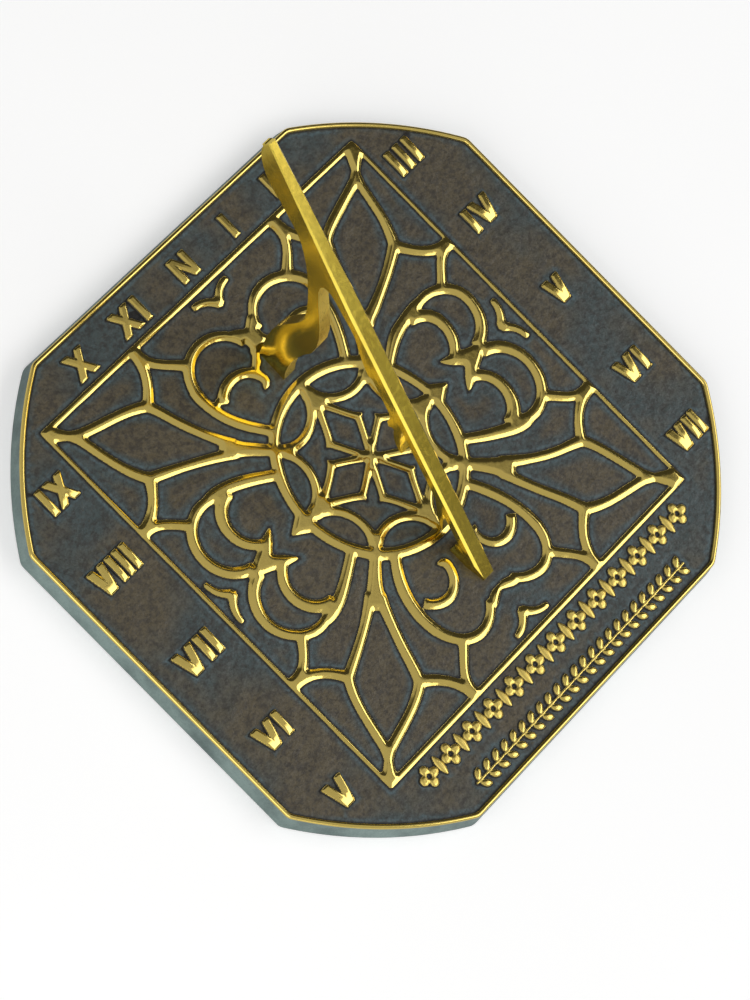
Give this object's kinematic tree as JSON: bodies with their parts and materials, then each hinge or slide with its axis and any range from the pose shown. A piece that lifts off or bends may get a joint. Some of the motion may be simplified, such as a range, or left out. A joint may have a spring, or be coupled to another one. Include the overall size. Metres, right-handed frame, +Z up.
{
  "type": "garden sundial",
  "caption": "Cast brass garden sundial with raised gothic tracery, Roman hour numerals and a sloping openwork gnomon.",
  "frame": {"origin": "centre of the plate's underside, where it rests on its pedestal", "axes": "+Y north along the noon line, +Z up out of the dial face, +X east"},
  "size_m": [0.2564, 0.2334, 0.1188],
  "materials": {
    "patinated_brass": "cast, dark brown to slate patina in the ground, rubbed relief",
    "rubbed_brass": "cast and lightly polished, warm",
    "turned_brass": "turned, dulled",
    "spring_steel": "dull"
  },
  "bodies": {
    "root": {"dial_plate": "patinated_brass", "gnomon": "rubbed_brass", "gnomon_screws": "turned_brass", "gnomon_washers": "spring_steel"}
  },
  "joints": []
}
